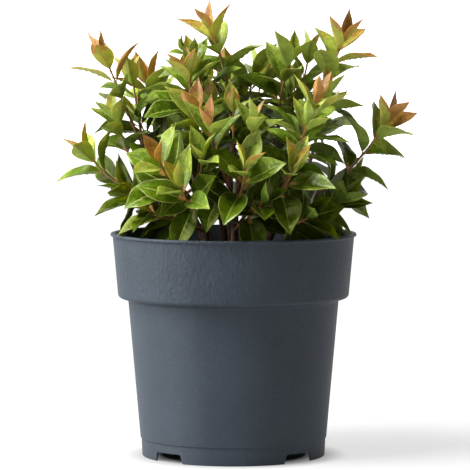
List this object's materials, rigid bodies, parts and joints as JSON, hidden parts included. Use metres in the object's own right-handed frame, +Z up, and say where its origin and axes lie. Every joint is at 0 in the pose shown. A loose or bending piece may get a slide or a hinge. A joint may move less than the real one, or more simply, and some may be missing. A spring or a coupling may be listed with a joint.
{
  "type": "potted leucothoe",
  "caption": "Small evergreen shrub with opposite glossy leaves and bronze young tips, in a round grey nursery pot with a stepped collar and drain notches in its foot ring.",
  "frame": {"origin": "middle of the pot's flat underside, at the level the pot stands on", "axes": "+Z up along the pot's axis, -Y towards the side that the picture shows, +X to its right"},
  "size_m": [0.2792, 0.2451, 0.3518],
  "materials": {
    "pot_plastic": "matt slate grey, slightly mottled",
    "potting_soil": "dark, moist and crumbly",
    "bark": "thin red-brown bark",
    "foliage": "glossy leaves, deep green when old and bronze when young"
  },
  "bodies": {
    "root": {"pot": "pot_plastic", "soil": "potting_soil", "stem_left": "bark", "stem_front_left": "bark", "stem_front_inner": "bark", "stem_front": "bark", "stem_front_right": "bark", "stem_right": "bark", "stem_back_right": "bark", "stem_centre": "bark", "stem_back": "bark", "stem_back_left": "bark", "bough_left_high": "bark", "bough_left_mid": "bark", "bough_front_left_high": "bark", "bough_front_left_mid": "bark", "bough_front_inner_high": "bark", "bough_front_inner_mid": "bark", "bough_front_high": "bark", "bough_front_mid": "bark", "bough_front_right_high": "bark", "bough_front_right_mid": "bark", "bough_right_high": "bark", "bough_right_mid": "bark", "bough_back_right_high": "bark", "bough_back_right_mid": "bark", "bough_centre_high": "bark", "bough_centre_mid": "bark", "bough_back_high": "bark", "bough_back_mid": "bark", "bough_back_left_high": "bark", "bough_back_left_mid": "bark", "foliage_left_high": "foliage", "foliage_left_mid": "foliage", "foliage_left_low": "foliage", "foliage_front_left_high": "foliage", "foliage_front_left_mid": "foliage", "foliage_front_left_low": "foliage", "foliage_front_inner_high": "foliage", "foliage_front_inner_mid": "foliage", "foliage_front_high": "foliage", "foliage_front_mid": "foliage", "foliage_front_low": "foliage", "foliage_front_right_high": "foliage", "foliage_front_right_mid": "foliage", "foliage_front_right_low": "foliage", "foliage_right_high": "foliage", "foliage_right_mid": "foliage", "foliage_right_low": "foliage", "foliage_back_right_high": "foliage", "foliage_back_right_mid": "foliage", "foliage_back_right_low": "foliage", "foliage_centre_high": "foliage", "foliage_centre_mid": "foliage", "foliage_back_high": "foliage", "foliage_back_mid": "foliage", "foliage_back_low": "foliage", "foliage_back_left_high": "foliage", "foliage_back_left_mid": "foliage", "foliage_back_left_low": "foliage"}
  },
  "joints": []
}
